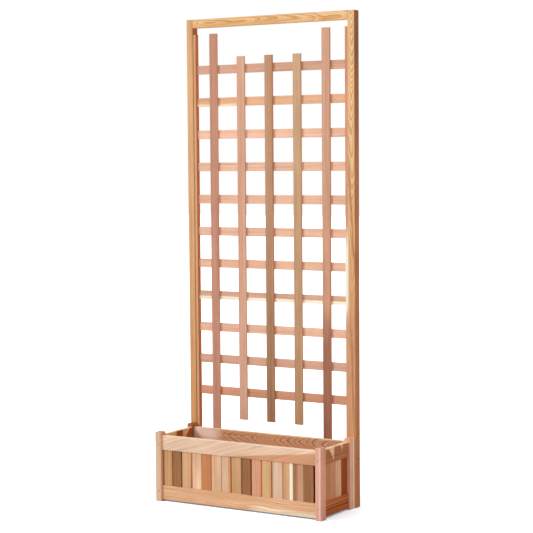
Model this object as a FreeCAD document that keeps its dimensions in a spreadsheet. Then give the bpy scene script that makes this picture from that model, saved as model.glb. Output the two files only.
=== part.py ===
import FreeCAD, Part
import os

import Sketcher

# Planter with trellis: a slatted timber planter on four corner posts, with a tall
# trellis frame standing on the floor behind it and screwed to its rear posts.
#
# Frame of the part: millimetres, +Z up. X runs along the length of the planter and
# Y from the front of the planter to the back of the trellis. The origin is on the
# floor, in the middle of the footprint.

DRIVING_SIZES = [
    # trellis frame
    ("overall_height", 2100, "floor to the top of the trellis frame"),
    ("frame_overhang", 6, "outer face of a stile beyond the corner posts"),
    ("frame_depth", 41, "front to back of every frame member"),
    ("stile_width", 33, "face width of a stile"),
    ("crosspiece_height", 37, "face height of the two crosspieces"),
    ("lower_crosspiece_rise", 180, "floor to the underside of the lower crosspiece"),
    # lattice inside the frame
    ("lath_thickness", 10, "thickness of every lath"),
    ("cross_lath_width", 38, "face height of a cross lath"),
    ("cross_lath_count", 11, "number of cross laths"),
    ("top_lath_drop", 203, "frame top down to the upper edge of the top cross lath"),
    ("bottom_lath_rise", 437, "floor to the underside of the bottom cross lath"),
    ("upright_lath_width", 39, "face width of an upright lath"),
    ("upright_lath_count", 5, "number of upright laths"),
    ("upright_lath_margin", 71.3, "side batten to the nearest upright lath"),
    ("long_upright_top_gap", 29, "upper crosspiece to the top of an outer upright"),
    ("long_upright_bottom_gap", 19, "lower crosspiece to the foot of an outer upright"),
    ("short_upright_rise", 34, "inner upright above the top cross lath"),
    ("short_upright_tail", 101, "inner upright below the bottom cross lath"),
    ("batten_width", 14, "face width of a side batten"),
    ("batten_depth", 22, "front to back of a side batten"),
    ("batten_setback", 3, "frame front back to the front of a batten"),
    ("housing_lip", 8, "batten front back to the front of a cross lath"),
    ("housing_depth", 6, "how far a cross lath enters a batten"),
    ("housing_clearance", 0.2, "clearance round a cross lath in its housing"),
    # planter
    ("box_width", 826, "over the outer faces of the corner posts"),
    ("box_depth", 291, "front of the front posts to the back of the rear posts"),
    ("post_height", 304, "height of a corner post"),
    ("post_width", 30, "corner post across the front"),
    ("post_depth", 39, "corner post front to back"),
    ("rail_height", 63, "height of a rail"),
    ("rail_thickness", 19, "thickness of a rail"),
    ("rail_setback", 9, "post face back to the rail face"),
    ("rail_drop", 14, "post top down to the top of the upper rails"),
    ("rail_lift", 8, "floor to the underside of the lower rails"),
    ("groove_depth", 9, "depth of the slat groove in a rail"),
    ("groove_clearance", 0.2, "clearance on each face of a slat in its groove"),
    ("slat_thickness", 11, "thickness of a slat"),
    ("slat_end_clearance", 1, "slat end to the bottom of its groove"),
    ("slat_gap", 1.5, "joint between two slats"),
    ("slat_count", 15, "slats in the front, and as many in the rear"),
    ("first_slat_trim", 5.8, "ripped off the first slat of the front and the rear"),
    ("left_slat_margin", 7, "left post to the first slat of the front or rear"),
    ("right_slat_margin", 11.8, "last slat of the front or rear to the right post"),
    ("end_slat_count", 4, "slats in each end of the box"),
    ("end_slat_margin", 4.25, "corner post to the first slat of an end"),
    # floor of the planter
    ("bearer_width", 30, "width of a floor bearer"),
    ("bearer_height", 30, "height of a floor bearer"),
    ("bearer_inset", 60, "post to the first bearer"),
    ("bearer_count", 3, "number of floor bearers"),
    ("board_thickness", 14, "thickness of a floor board"),
    ("board_count", 4, "number of floor boards"),
    ("board_gap", 5.4, "drainage gap beside every floor board"),
    ("board_end_gap", 1, "corner post to the end of a floor board"),
    # edges and screws
    ("post_rounding", 3, "radius of the long edges of posts and frame members"),
    ("end_easing", 1.5, "chamfer on the ends of posts and stiles"),
    ("board_easing", 1, "chamfer on the edges of rails, slats, boards and laths"),
    ("screw_diameter", 4, "shank of a screw"),
    ("screw_head_diameter", 8, "head of a screw"),
    ("screw_head_height", 2.5, "height of a sunk head"),
    ("screw_bite", 22, "length of screw beyond the piece that holds its head"),
    ("screw_clearance", 0.1, "radial clearance of a screw in its hole"),
    ("screw_stagger", 17, "rail middle to the lengthwise screw of its joint"),
    ("frame_screw_spacing", 22, "height between the two screws of a frame joint"),
    ("fixing_screw_spacing", 80, "height between the screws that hold the trellis"),
    ("fixing_screw_rise", 105, "middle of the screws that hold the trellis"),
]

doc = FreeCAD.newDocument("planter_with_trellis")
sheet = doc.addObject("Spreadsheet::Sheet", "Sizes")
for row, (alias, number, note) in enumerate(DRIVING_SIZES, start=1):
    sheet.set(f"A{row}", alias)
    sheet.set(f"B{row}", str(number))
    sheet.set(f"C{row}", note)
    sheet.setAlias(f"B{row}", alias)
doc.recompute()

published = {}

# Two coordinates closer than this are the same.
TOLERANCE = 0.01


def size(alias):
    """Number that the sheet holds under this alias."""
    return float(sheet.get(alias))


def cell(alias):
    """Expression that reads one cell of the sheet."""
    return f"Sizes.{alias}"


# Levels and faces that several pieces share, as expressions on the sheet.
FRAME_BACK = f"({cell('box_depth')} + {cell('frame_depth')}) / 2"
FRAME_FRONT = f"({FRAME_BACK} - {cell('frame_depth')})"
BOX_FRONT = f"(-({FRAME_BACK}))"
BOX_BACK = FRAME_FRONT
BOX_SIDE = f"({cell('box_width')} / 2)"
FRAME_SIDE = f"({BOX_SIDE} + {cell('frame_overhang')})"
STILE_INNER = f"({FRAME_SIDE} - {cell('stile_width')})"
BATTEN_INNER = f"({STILE_INNER} - {cell('batten_width')})"
UPPER_CROSSPIECE = f"({cell('overall_height')} - {cell('crosspiece_height')})"
LOWER_CROSSPIECE_TOP = f"({cell('lower_crosspiece_rise')} + {cell('crosspiece_height')})"
LATTICE_TOP = f"({UPPER_CROSSPIECE} - {cell('long_upright_top_gap')})"
LATTICE_BOTTOM = f"({LOWER_CROSSPIECE_TOP} + {cell('long_upright_bottom_gap')})"
CROSS_FRONT = f"({FRAME_FRONT} + {cell('batten_setback')} + {cell('housing_lip')})"
TOP_CROSS_EDGE = f"({cell('overall_height')} - {cell('top_lath_drop')})"
BOTTOM_CROSS_EDGE = cell("bottom_lath_rise")
CROSS_SPAN = f"({TOP_CROSS_EDGE} - {cell('cross_lath_width')} - {BOTTOM_CROSS_EDGE})"
CROSS_PITCH = f"({CROSS_SPAN} / ({cell('cross_lath_count')} - 1))"
RAIL_INNER = f"({cell('rail_setback')} + {cell('rail_thickness')})"
SLAT_SETBACK = (
    f"({cell('rail_setback')} + ({cell('rail_thickness')} - {cell('slat_thickness')}) / 2)"
)
UPPER_RAIL = f"({cell('post_height')} - {cell('rail_drop')} - {cell('rail_height')})"
LOWER_RAIL_TOP = f"({cell('rail_lift')} + {cell('rail_height')})"
GROOVE_WALL = (
    f"({cell('rail_thickness')} - {cell('slat_thickness')} - 2 * {cell('groove_clearance')}) / 2"
)
LONG_RAIL = f"({cell('box_width')} - 2 * {cell('post_width')})"
END_RAIL = f"({cell('box_depth')} - 2 * {cell('post_depth')})"
SLAT_ENTRY = f"({cell('groove_depth')} - {cell('slat_end_clearance')})"
SLAT_FOOT = f"({LOWER_RAIL_TOP} - {SLAT_ENTRY})"
SLAT_LENGTH = f"({UPPER_RAIL} + {SLAT_ENTRY} - {SLAT_FOOT})"


def publish(node, label):
    """Give a finished sub-part the name of its file."""
    node.Label = label
    published[label] = node
    return node


def bind(obj, **expressions):
    """Bind properties of one object to expressions on the sheet."""
    for name, expression in expressions.items():
        obj.setExpression(name, str(expression))


def place(obj, x, y, z):
    """Bind the position of an object to expressions on the sheet."""
    obj.setExpression("Placement.Base.x", str(x))
    obj.setExpression("Placement.Base.y", str(y))
    obj.setExpression("Placement.Base.z", str(z))


def edge_names(shape, wanted):
    """Names of the edges that a test on the two end points picks out."""
    names = []
    for index, edge in enumerate(shape.Edges, start=1):
        first = edge.Vertexes[0].Point
        last = edge.Vertexes[-1].Point
        if wanted(first, last):
            names.append(f"Edge{index}")
    return names


def blank(name, length, width, height):
    """Body that starts as a squared block along its own X, Y and Z."""
    body = doc.addObject("PartDesign::Body", name)
    block = body.newObject("PartDesign::AdditiveBox", f"{name}_blank")
    bind(block, Length=length, Width=width, Height=height)
    doc.recompute()
    return body, block


def ease(body, base, names, amount):
    """Chamfer some edges of a body."""
    chamfer = body.newObject("PartDesign::Chamfer", f"{body.Name}_easing")
    chamfer.Base = (base, names)
    bind(chamfer, Size=amount)
    return chamfer


def board(name, length, width, height, x, y, z):
    """Sawn board with all its edges eased."""
    body, block = blank(name, length, width, height)
    ease(body, block, [f"Edge{n}" for n in range(1, 13)], cell("board_easing"))
    place(body, x, y, z)
    return body


# Screws and their holes are twelve-sided prisms: there are so many of them that true
# rounds would hold most of the model's facets.
SCREW_SIDES = 12
SHANK_HOLE = f"({cell('screw_diameter')} / 2 + {cell('screw_clearance')})"
HEAD_HOLE = f"({cell('screw_head_diameter')} / 2 + {cell('screw_clearance')})"


def bore(body, tag, start, turn, radius, depth):
    """Hole that starts at a point and runs along the turned +Z."""
    cut = body.newObject("PartDesign::SubtractivePrism", f"{body.Name}_{tag}")
    cut.Polygon = SCREW_SIDES
    cut.Placement.Rotation = turn
    bind(cut, Circumradius=radius, Height=depth)
    place(cut, *start)


def pilot(body, tag, start, turn):
    """Hole for the end of a screw."""
    bore(body, f"{tag}_pilot", start, turn, SHANK_HOLE, cell("screw_bite"))


def sunk_hole(body, tag, start, turn, depth):
    """Screw hole right through a piece, with a seat for the head where it starts."""
    bore(body, f"{tag}_hole", start, turn, SHANK_HOLE, depth)
    bore(body, f"{tag}_seat", start, turn, HEAD_HOLE, cell("screw_head_height"))


def screw(name, start, turn, length):
    """Screw whose head lies flush at the given point."""
    shank = doc.addObject("Part::Prism", f"{name}_shank")
    shank.Polygon = SCREW_SIDES
    bind(shank, Circumradius=f"{cell('screw_diameter')} / 2", Height=length)
    head = doc.addObject("Part::Prism", f"{name}_head")
    head.Polygon = SCREW_SIDES
    bind(head, Circumradius=f"{cell('screw_head_diameter')} / 2", Height=cell("screw_head_height"))
    whole = doc.addObject("Part::Fuse", name)
    whole.Base = shank
    whole.Tool = head
    whole.Placement.Rotation = turn
    place(whole, *start)
    return whole


def compound(label, pieces):
    """One node that holds several separate solids."""
    group = doc.addObject("Part::Compound", f"{label}_group")
    group.Links = pieces
    return publish(group, label)


ALONG_X = FreeCAD.Rotation(FreeCAD.Vector(0, 1, 0), 90)
AGAINST_X = FreeCAD.Rotation(FreeCAD.Vector(0, 1, 0), -90)
ALONG_Y = FreeCAD.Rotation(FreeCAD.Vector(1, 0, 0), -90)
AGAINST_Y = FreeCAD.Rotation(FreeCAD.Vector(1, 0, 0), 90)
QUARTER_TURN = FreeCAD.Rotation(FreeCAD.Vector(0, 0, 1), 90)
UPSIDE_DOWN = FreeCAD.Rotation(FreeCAD.Vector(1, 0, 0), 180)

# ---------------------------------------------------------------- screw levels
# Two screws cross in each end of each rail joint: the lengthwise one stands further
# from the middle of the planter's height than the crosswise one.
UPPER_RAIL_MIDDLE = f"({UPPER_RAIL} + {cell('rail_height')} / 2)"
LOWER_RAIL_MIDDLE = f"({cell('rail_lift')} + {cell('rail_height')} / 2)"
RAIL_CENTRE = f"({cell('rail_setback')} + {cell('rail_thickness')} / 2)"
LENGTHWISE_LEVELS = {
    "upper": f"({UPPER_RAIL_MIDDLE} + {cell('screw_stagger')})",
    "lower": f"({LOWER_RAIL_MIDDLE} - {cell('screw_stagger')})",
}
CROSSWISE_LEVELS = {
    "upper": f"({UPPER_RAIL_MIDDLE} - {cell('screw_stagger')} / 2)",
    "lower": f"({LOWER_RAIL_MIDDLE} + {cell('screw_stagger')} / 2)",
}
FIXING_LEVELS = {
    "upper": f"({cell('fixing_screw_rise')} + {cell('fixing_screw_spacing')} / 2)",
    "lower": f"({cell('fixing_screw_rise')} - {cell('fixing_screw_spacing')} / 2)",
}


def rounded_upright(name, width, depth, height):
    """Post or stile: rounded long edges and chamfered ends."""
    body, block = blank(name, width, depth, height)
    long_edges = edge_names(block.Shape, lambda a, b: abs(a.z - b.z) > TOLERANCE)
    rounding = body.newObject("PartDesign::Fillet", f"{name}_rounding")
    rounding.Base = (block, long_edges)
    bind(rounding, Radius=cell("post_rounding"))
    doc.recompute()
    end_edges = edge_names(rounding.Shape, lambda a, b: abs(a.z - b.z) < TOLERANCE)
    ease(body, rounding, end_edges, cell("end_easing"))
    return body


# ---------------------------------------------------------------- corner posts
def corner_post(label, side, row):
    """Corner post with the screw holes of the rails that meet it.

    side is -1 at the left and 1 at the right; row is "front" or "rear".
    """
    body = rounded_upright(label, cell("post_width"), cell("post_depth"), cell("post_height"))
    outer_x = "0" if side < 0 else cell("post_width")
    rail_x = RAIL_CENTRE if side < 0 else f"({cell('post_width')} - {RAIL_CENTRE})"
    outer_y = "0" if row == "front" else cell("post_depth")
    rail_y = RAIL_CENTRE if row == "front" else f"({cell('post_depth')} - {RAIL_CENTRE})"
    lengthwise = ALONG_X if side < 0 else AGAINST_X
    crosswise = ALONG_Y if row == "front" else AGAINST_Y
    for tag, level in LENGTHWISE_LEVELS.items():
        start = (outer_x, rail_y, level)
        sunk_hole(body, f"lengthwise_{tag}", start, lengthwise, cell("post_width"))
    for tag, level in CROSSWISE_LEVELS.items():
        start = (rail_x, outer_y, level)
        sunk_hole(body, f"crosswise_{tag}", start, crosswise, cell("post_depth"))
    if row == "rear":
        for tag, level in FIXING_LEVELS.items():
            start = (f"{cell('post_width')} / 2", cell("post_depth"), level)
            pilot(body, f"fixing_{tag}", start, AGAINST_Y)
    corner_x = f"-{BOX_SIDE}" if side < 0 else f"{BOX_SIDE} - {cell('post_width')}"
    corner_y = BOX_FRONT if row == "front" else f"{BOX_BACK} - {cell('post_depth')}"
    place(body, corner_x, corner_y, "0")
    return publish(body, label)


corner_post("post_front_left", -1, "front")
corner_post("post_front_right", 1, "front")
corner_post("post_rear_left", -1, "rear")
corner_post("post_rear_right", 1, "rear")


# ---------------------------------------------------------------- grooved rails
def rail_profile(body, name):
    """Sketch of the rail's section: a rectangle with the slat groove in its top."""
    sketch = body.newObject("Sketcher::SketchObject", f"{name}_section")
    for feature in body.Origin.OriginFeatures:
        if feature.Role == "YZ_Plane":
            sketch.AttachmentSupport = [(feature, "")]
    sketch.MapMode = "FlatFace"
    thickness = size("rail_thickness")
    height = size("rail_height")
    groove_width = size("slat_thickness") + 2 * size("groove_clearance")
    wall = (thickness - groove_width) / 2
    bottom = height - size("groove_depth")
    outline = [
        (0, 0), (thickness, 0), (thickness, height), (thickness - wall, height),
        (thickness - wall, bottom), (wall, bottom), (wall, height), (0, height),
    ]
    corners = [FreeCAD.Vector(y, z, 0) for y, z in outline]
    count = len(corners)
    for index in range(count):
        following = corners[(index + 1) % count]
        sketch.addGeometry(Part.LineSegment(corners[index], following), False)
    start, end = 1, 2
    for index in range(count):
        sketch.addConstraint(Sketcher.Constraint("Coincident", index, end, (index + 1) % count, start))
    for index in range(count):
        direction = "Horizontal" if index % 2 == 0 else "Vertical"
        sketch.addConstraint(Sketcher.Constraint(direction, index))
    origin = -1
    sketch.addConstraint(Sketcher.Constraint("Coincident", 0, start, origin, start))
    measured = [
        ("thickness", "DistanceX", 0, start, 0, end, thickness, cell("rail_thickness")),
        ("height", "DistanceY", 1, start, 1, end, height, cell("rail_height")),
        ("back_wall", "DistanceX", 2, end, 2, start, wall, GROOVE_WALL),
        ("depth", "DistanceY", 3, end, 3, start, height - bottom, cell("groove_depth")),
        ("front_wall", "DistanceX", 6, end, 6, start, wall, GROOVE_WALL),
    ]
    for tag, kind, first, first_end, second, second_end, number, expression in measured:
        index = sketch.addConstraint(
            Sketcher.Constraint(kind, first, first_end, second, second_end, number)
        )
        sketch.renameConstraint(index, tag)
        sketch.setExpression(f"Constraints.{tag}", expression)
    return sketch


def rail(label, length, level, upper, turned, corner):
    """Rail between two posts, grooved on the edge that faces the slats.

    length is its run between the posts and level the height of the screws in its
    ends. upper rails lie upside down, turned ones run along Y, and corner holds the
    expressions of the rail's lowest corner.
    """
    body = doc.addObject("PartDesign::Body", label)
    sketch = rail_profile(body, label)
    pad = body.newObject("PartDesign::Pad", f"{label}_length")
    pad.Profile = sketch
    bind(pad, Length=length)
    doc.recompute()
    thickness = size("rail_thickness")
    height = size("rail_height")

    def outer_long_edge(first, last):
        """Whether an edge runs the length of the rail at a corner of its section."""
        at_face = min(abs(first.y), abs(first.y - thickness)) < TOLERANCE
        at_edge = min(abs(first.z), abs(first.z - height)) < TOLERANCE
        return abs(first.x - last.x) > TOLERANCE and at_face and at_edge

    ease(body, pad, edge_names(pad.Shape, outer_long_edge), cell("board_easing"))
    own_level = f"{level} - {cell('rail_lift')}"
    if upper:
        own_level = f"{UPPER_RAIL} + {cell('rail_height')} - {level}"
    middle = f"{cell('rail_thickness')} / 2"
    pilot(body, "near", ("0", middle, own_level), ALONG_X)
    pilot(body, "far", (length, middle, own_level), AGAINST_X)
    x, y, z = corner
    if upper:
        z = f"{z} + {cell('rail_height')}"
    if upper and turned:
        body.Placement.Rotation = QUARTER_TURN.multiply(UPSIDE_DOWN)
    elif upper:
        body.Placement.Rotation = UPSIDE_DOWN
        y = f"{y} + {cell('rail_thickness')}"
    elif turned:
        body.Placement.Rotation = QUARTER_TURN
        x = f"{x} + {cell('rail_thickness')}"
    place(body, x, y, z)
    return publish(body, label)


def rail_pair(side_name, length, levels, turned, x, y):
    """Upper and lower rail of one side of the planter."""
    upper_corner = (x, y, UPPER_RAIL)
    lower_corner = (x, y, cell("rail_lift"))
    rail(f"{side_name}_top_rail", length, levels["upper"], True, turned, upper_corner)
    rail(f"{side_name}_bottom_rail", length, levels["lower"], False, turned, lower_corner)


LONG_RAIL_START = f"-({LONG_RAIL}) / 2"
END_RAIL_START = f"{BOX_FRONT} + {cell('post_depth')}"
rail_pair(
    "front", LONG_RAIL, LENGTHWISE_LEVELS, False,
    LONG_RAIL_START, f"{BOX_FRONT} + {cell('rail_setback')}",
)
rail_pair(
    "rear", LONG_RAIL, LENGTHWISE_LEVELS, False,
    LONG_RAIL_START, f"{BOX_BACK} - {RAIL_INNER}",
)
rail_pair(
    "left", END_RAIL, CROSSWISE_LEVELS, True,
    f"{cell('rail_setback')} - {BOX_SIDE}", END_RAIL_START,
)
rail_pair(
    "right", END_RAIL, CROSSWISE_LEVELS, True,
    f"{BOX_SIDE} - {RAIL_INNER}", END_RAIL_START,
)


# ---------------------------------------------------------------- slats
def slat_row(prefix, count, opening, margins, trim, along_x, setback):
    """Slats side by side in the grooves of two rails.

    They fill the opening between two posts but for a margin at each end, and the first
    is narrower than the others by the trim; setback is the place of their outer or
    inner face across the row.
    """
    near, far = margins
    joints = f"({count} - 1) * {cell('slat_gap')}"
    width = f"(({opening} - {near} - {far} - {joints} + {trim}) / {count})"
    middle = "0" if along_x else BOX_MIDDLE
    pieces = []
    for index in range(count):
        name = f"{prefix}_{index + 1:02d}"
        own_width = width if index else f"({width} - {trim})"
        advance = f"{index} * ({width} + {cell('slat_gap')}) - {trim}" if index else "0"
        start = f"{middle} - {opening} / 2 + {near} + {advance}"
        if along_x:
            measures = (own_width, cell("slat_thickness"), SLAT_LENGTH)
            piece = board(name, *measures, start, setback, SLAT_FOOT)
        else:
            measures = (cell("slat_thickness"), own_width, SLAT_LENGTH)
            piece = board(name, *measures, setback, start, SLAT_FOOT)
        pieces.append(piece)
    return pieces


def long_slats(prefix, setback):
    """Slats of the front or the rear."""
    count = int(size("slat_count"))
    margins = (cell("left_slat_margin"), cell("right_slat_margin"))
    return slat_row(prefix, count, LONG_RAIL, margins, cell("first_slat_trim"), True, setback)


def end_slats(prefix, setback):
    """Slats of the left or the right end, all of one width."""
    count = int(size("end_slat_count"))
    margins = (cell("end_slat_margin"), cell("end_slat_margin"))
    return slat_row(prefix, count, END_RAIL, margins, "0", False, setback)


BOX_MIDDLE = f"({BOX_FRONT} + {cell('box_depth')} / 2)"
FAR_SETBACK = f"({SLAT_SETBACK} + {cell('slat_thickness')})"
for slat in long_slats("front_slat", f"{BOX_FRONT} + {SLAT_SETBACK}"):
    publish(slat, slat.Name)
for slat in end_slats("right_slat", f"{BOX_SIDE} - {FAR_SETBACK}"):
    publish(slat, slat.Name)
compound("left_slats", end_slats("left_slat", f"{SLAT_SETBACK} - {BOX_SIDE}"))
compound("rear_slats", long_slats("rear_slat", f"{BOX_BACK} - {FAR_SETBACK}"))

# ---------------------------------------------------------------- planter floor
CLEAR_DEPTH = f"({cell('box_depth')} - 2 * {RAIL_INNER})"
BEARER_REACH = f"({LONG_RAIL} - 2 * {cell('bearer_inset')} - {cell('bearer_width')})"
bearers = []
for index in range(int(size("bearer_count"))):
    share = f"{index} / ({cell('bearer_count')} - 1)"
    left_edge = f"{BEARER_REACH} * ({share} - 1 / 2) - {cell('bearer_width')} / 2"
    bearers.append(
        board(
            f"floor_bearer_{index + 1}", cell("bearer_width"), CLEAR_DEPTH, cell("bearer_height"),
            left_edge, f"{BOX_FRONT} + {RAIL_INNER}", cell("rail_lift"),
        )
    )
compound("floor_bearers", bearers)

BOARD_COUNT = cell("board_count")
BOARD_LENGTH = f"({LONG_RAIL} - 2 * {cell('board_end_gap')})"
BOARD_WIDTH = f"(({CLEAR_DEPTH} - ({BOARD_COUNT} + 1) * {cell('board_gap')}) / {BOARD_COUNT})"
boards = []
for index in range(int(size("board_count"))):
    from_rail = f"{index + 1} * {cell('board_gap')} + {index} * {BOARD_WIDTH}"
    boards.append(
        board(
            f"floor_board_{index + 1}", BOARD_LENGTH, BOARD_WIDTH, cell("board_thickness"),
            f"-{BOARD_LENGTH} / 2", f"{BOX_FRONT} + {RAIL_INNER} + {from_rail}",
            f"{cell('rail_lift')} + {cell('bearer_height')}",
        )
    )
compound("floor_boards", boards)


# ---------------------------------------------------------------- trellis frame
FRAME_MIDDLE = f"{cell('frame_depth')} / 2"
FIXING_X = f"({BOX_SIDE} - {cell('post_width')} / 2 - {STILE_INNER})"
CROSSPIECES = {"top": UPPER_CROSSPIECE, "lower": cell("lower_crosspiece_rise")}


def frame_screw_levels(underside):
    """Levels of the two screws in one end of a crosspiece."""
    middle = f"({underside} + {cell('crosspiece_height')} / 2)"
    half = f"{cell('frame_screw_spacing')} / 2"
    return {"over": f"({middle} + {half})", "under": f"({middle} - {half})"}


def stile(label, side):
    """Upright of the trellis frame, which stands on the floor behind a rear post."""
    body = rounded_upright(label, cell("stile_width"), cell("frame_depth"), cell("overall_height"))
    outer_x = "0" if side < 0 else cell("stile_width")
    inward = ALONG_X if side < 0 else AGAINST_X
    for name, underside in CROSSPIECES.items():
        for tag, level in frame_screw_levels(underside).items():
            start = (outer_x, FRAME_MIDDLE, level)
            sunk_hole(body, f"{name}_{tag}", start, inward, cell("stile_width"))
    fixing_x = f"{cell('stile_width')} - {FIXING_X}" if side < 0 else FIXING_X
    for tag, level in FIXING_LEVELS.items():
        depth = cell("frame_depth")
        sunk_hole(body, f"fixing_{tag}", (fixing_x, depth, level), AGAINST_Y, depth)
    left_edge = f"-{FRAME_SIDE}" if side < 0 else STILE_INNER
    place(body, left_edge, FRAME_FRONT, "0")
    return publish(body, label)


def crosspiece(label, underside):
    """Horizontal member between the stiles."""
    length = f"(2 * {STILE_INNER})"
    body, block = blank(label, length, cell("frame_depth"), cell("crosspiece_height"))
    long_edges = edge_names(block.Shape, lambda a, b: abs(a.x - b.x) > TOLERANCE)
    ease(body, block, long_edges, cell("board_easing"))
    for tag, level in frame_screw_levels("0").items():
        pilot(body, f"left_{tag}", ("0", FRAME_MIDDLE, level), ALONG_X)
        pilot(body, f"right_{tag}", (length, FRAME_MIDDLE, level), AGAINST_X)
    place(body, f"-{STILE_INNER}", FRAME_FRONT, underside)
    return publish(body, label)


stile("stile_left", -1)
stile("stile_right", 1)
crosspiece("top_crosspiece", UPPER_CROSSPIECE)
crosspiece("lower_crosspiece", cell("lower_crosspiece_rise"))


# ---------------------------------------------------------------- lattice
def side_batten(label, side):
    """Batten on the inner face of a stile, with a housing for each cross lath."""
    length = f"({LATTICE_TOP} - {LATTICE_BOTTOM})"
    body, block = blank(label, cell("batten_width"), cell("batten_depth"), length)
    ease(body, block, [f"Edge{n}" for n in range(1, 13)], cell("board_easing"))
    housing = body.newObject("PartDesign::SubtractiveBox", f"{label}_housing")
    play = cell("housing_clearance")
    bind(
        housing,
        Length=f"2 * {cell('housing_depth')}",
        Width=f"{cell('lath_thickness')} + 2 * {play}",
        Height=f"{cell('cross_lath_width')} + 2 * {play}",
    )
    inner_face = "0" if side > 0 else cell("batten_width")
    place(
        housing,
        f"{inner_face} - {cell('housing_depth')}",
        f"{cell('housing_lip')} - {play}",
        f"{BOTTOM_CROSS_EDGE} - {play} - {LATTICE_BOTTOM}",
    )
    doc.recompute()
    row = body.newObject("PartDesign::LinearPattern", f"{label}_housings")
    row.Originals = [housing]
    for feature in body.Origin.OriginFeatures:
        if feature.Role == "Z_Axis":
            row.Direction = (feature, [""])
    bind(row, Length=CROSS_SPAN, Occurrences=cell("cross_lath_count"))
    body.Tip = row
    left_edge = f"-{STILE_INNER}" if side < 0 else BATTEN_INNER
    place(body, left_edge, f"{FRAME_FRONT} + {cell('batten_setback')}", LATTICE_BOTTOM)
    return publish(body, label)


side_batten("batten_left", -1)
side_batten("batten_right", 1)

CROSS_REACH = f"({BATTEN_INNER} + {cell('housing_depth')} - {cell('housing_clearance')})"
for index in range(int(size("cross_lath_count"))):
    underside = f"{TOP_CROSS_EDGE} - {index} * {CROSS_PITCH} - {cell('cross_lath_width')}"
    lath = board(
        f"cross_lath_{index + 1:02d}", f"2 * {CROSS_REACH}", cell("lath_thickness"),
        cell("cross_lath_width"), f"-{CROSS_REACH}", CROSS_FRONT, underside,
    )
    publish(lath, lath.Name)

SHORT_TOP = f"({TOP_CROSS_EDGE} + {cell('short_upright_rise')})"
SHORT_BOTTOM = f"({BOTTOM_CROSS_EDGE} - {cell('short_upright_tail')})"
upright_count = int(size("upright_lath_count"))
OUTER_UPRIGHT = f"({BATTEN_INNER} - {cell('upright_lath_margin')} - {cell('upright_lath_width')} / 2)"
for index in range(upright_count):
    outermost = index in (0, upright_count - 1)
    top, bottom = (LATTICE_TOP, LATTICE_BOTTOM) if outermost else (SHORT_TOP, SHORT_BOTTOM)
    centre = f"({2 * index} / ({cell('upright_lath_count')} - 1) - 1) * {OUTER_UPRIGHT}"
    lath = board(
        f"upright_lath_{index + 1}", cell("upright_lath_width"), cell("lath_thickness"),
        f"{top} - {bottom}", f"{centre} - {cell('upright_lath_width')} / 2",
        f"{CROSS_FRONT} - {cell('lath_thickness')}", bottom,
    )
    publish(lath, lath.Name)

# ---------------------------------------------------------------- screws
SIDES = {"left": -1, "right": 1}
planter_screws = []
for side_name, side in SIDES.items():
    inward = ALONG_X if side < 0 else AGAINST_X
    outer_x = f"{side} * {BOX_SIDE}"
    rail_x = f"{side} * ({BOX_SIDE} - {RAIL_CENTRE})"
    for row, face, rearward in (("front", BOX_FRONT, 1), ("rear", BOX_BACK, -1)):
        rail_y = f"{face} + {rearward} * {RAIL_CENTRE}"
        into_box = ALONG_Y if rearward > 0 else AGAINST_Y
        for tag, level in LENGTHWISE_LEVELS.items():
            reach = f"{cell('post_width')} + {cell('screw_bite')}"
            name = f"lengthwise_screw_{side_name}_{row}_{tag}"
            planter_screws.append(screw(name, (outer_x, rail_y, level), inward, reach))
        for tag, level in CROSSWISE_LEVELS.items():
            reach = f"{cell('post_depth')} + {cell('screw_bite')}"
            name = f"crosswise_screw_{side_name}_{row}_{tag}"
            planter_screws.append(screw(name, (rail_x, face, level), into_box, reach))
compound("planter_screws", planter_screws)

trellis_screws = []
for side_name, side in SIDES.items():
    inward = ALONG_X if side < 0 else AGAINST_X
    outer_x = f"{side} * {FRAME_SIDE}"
    for piece, underside in CROSSPIECES.items():
        for tag, level in frame_screw_levels(underside).items():
            reach = f"{cell('stile_width')} + {cell('screw_bite')}"
            name = f"frame_screw_{side_name}_{piece}_{tag}"
            start = (outer_x, f"{FRAME_FRONT} + {FRAME_MIDDLE}", level)
            trellis_screws.append(screw(name, start, inward, reach))
    fixing_x = f"{side} * ({BOX_SIDE} - {cell('post_width')} / 2)"
    for tag, level in FIXING_LEVELS.items():
        reach = f"{cell('frame_depth')} + {cell('screw_bite')}"
        name = f"fixing_screw_{side_name}_{tag}"
        start = (fixing_x, FRAME_BACK, level)
        trellis_screws.append(screw(name, start, AGAINST_Y, reach))
compound("trellis_screws", trellis_screws)

# ---------------------------------------------------------------- check and write
doc.recompute()
for obj in doc.Objects:
    if "Invalid" in obj.State or "Error" in obj.State:
        raise RuntimeError(f"{obj.Name} did not recompute: {obj.State}")
for label, node in published.items():
    if node.Shape.isNull() or not node.Shape.isValid():
        raise RuntimeError(f"{label} has no valid shape")
    for solid in node.Shape.Solids:
        if solid.Volume <= 0:
            raise RuntimeError(f"{label} holds an empty solid")

os.makedirs("parts", exist_ok=True)
for label, node in published.items():
    node.Shape.exportStep(f"parts/{label}.step")
    solids = len(node.Shape.Solids)
    print(f"{label}: {solids} solid(s), {node.Shape.Volume / 1000:.1f} cm3")
print(f"{len(published)} nodes written")
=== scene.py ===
"""Looks of a cedar planter with its trellis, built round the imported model."""

import logging
import math
from collections.abc import Iterator, Sequence
from dataclasses import dataclass, field, replace
from enum import Enum
from typing import Any, Union

import bmesh
import bpy
from mathutils import Matrix, Vector


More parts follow.
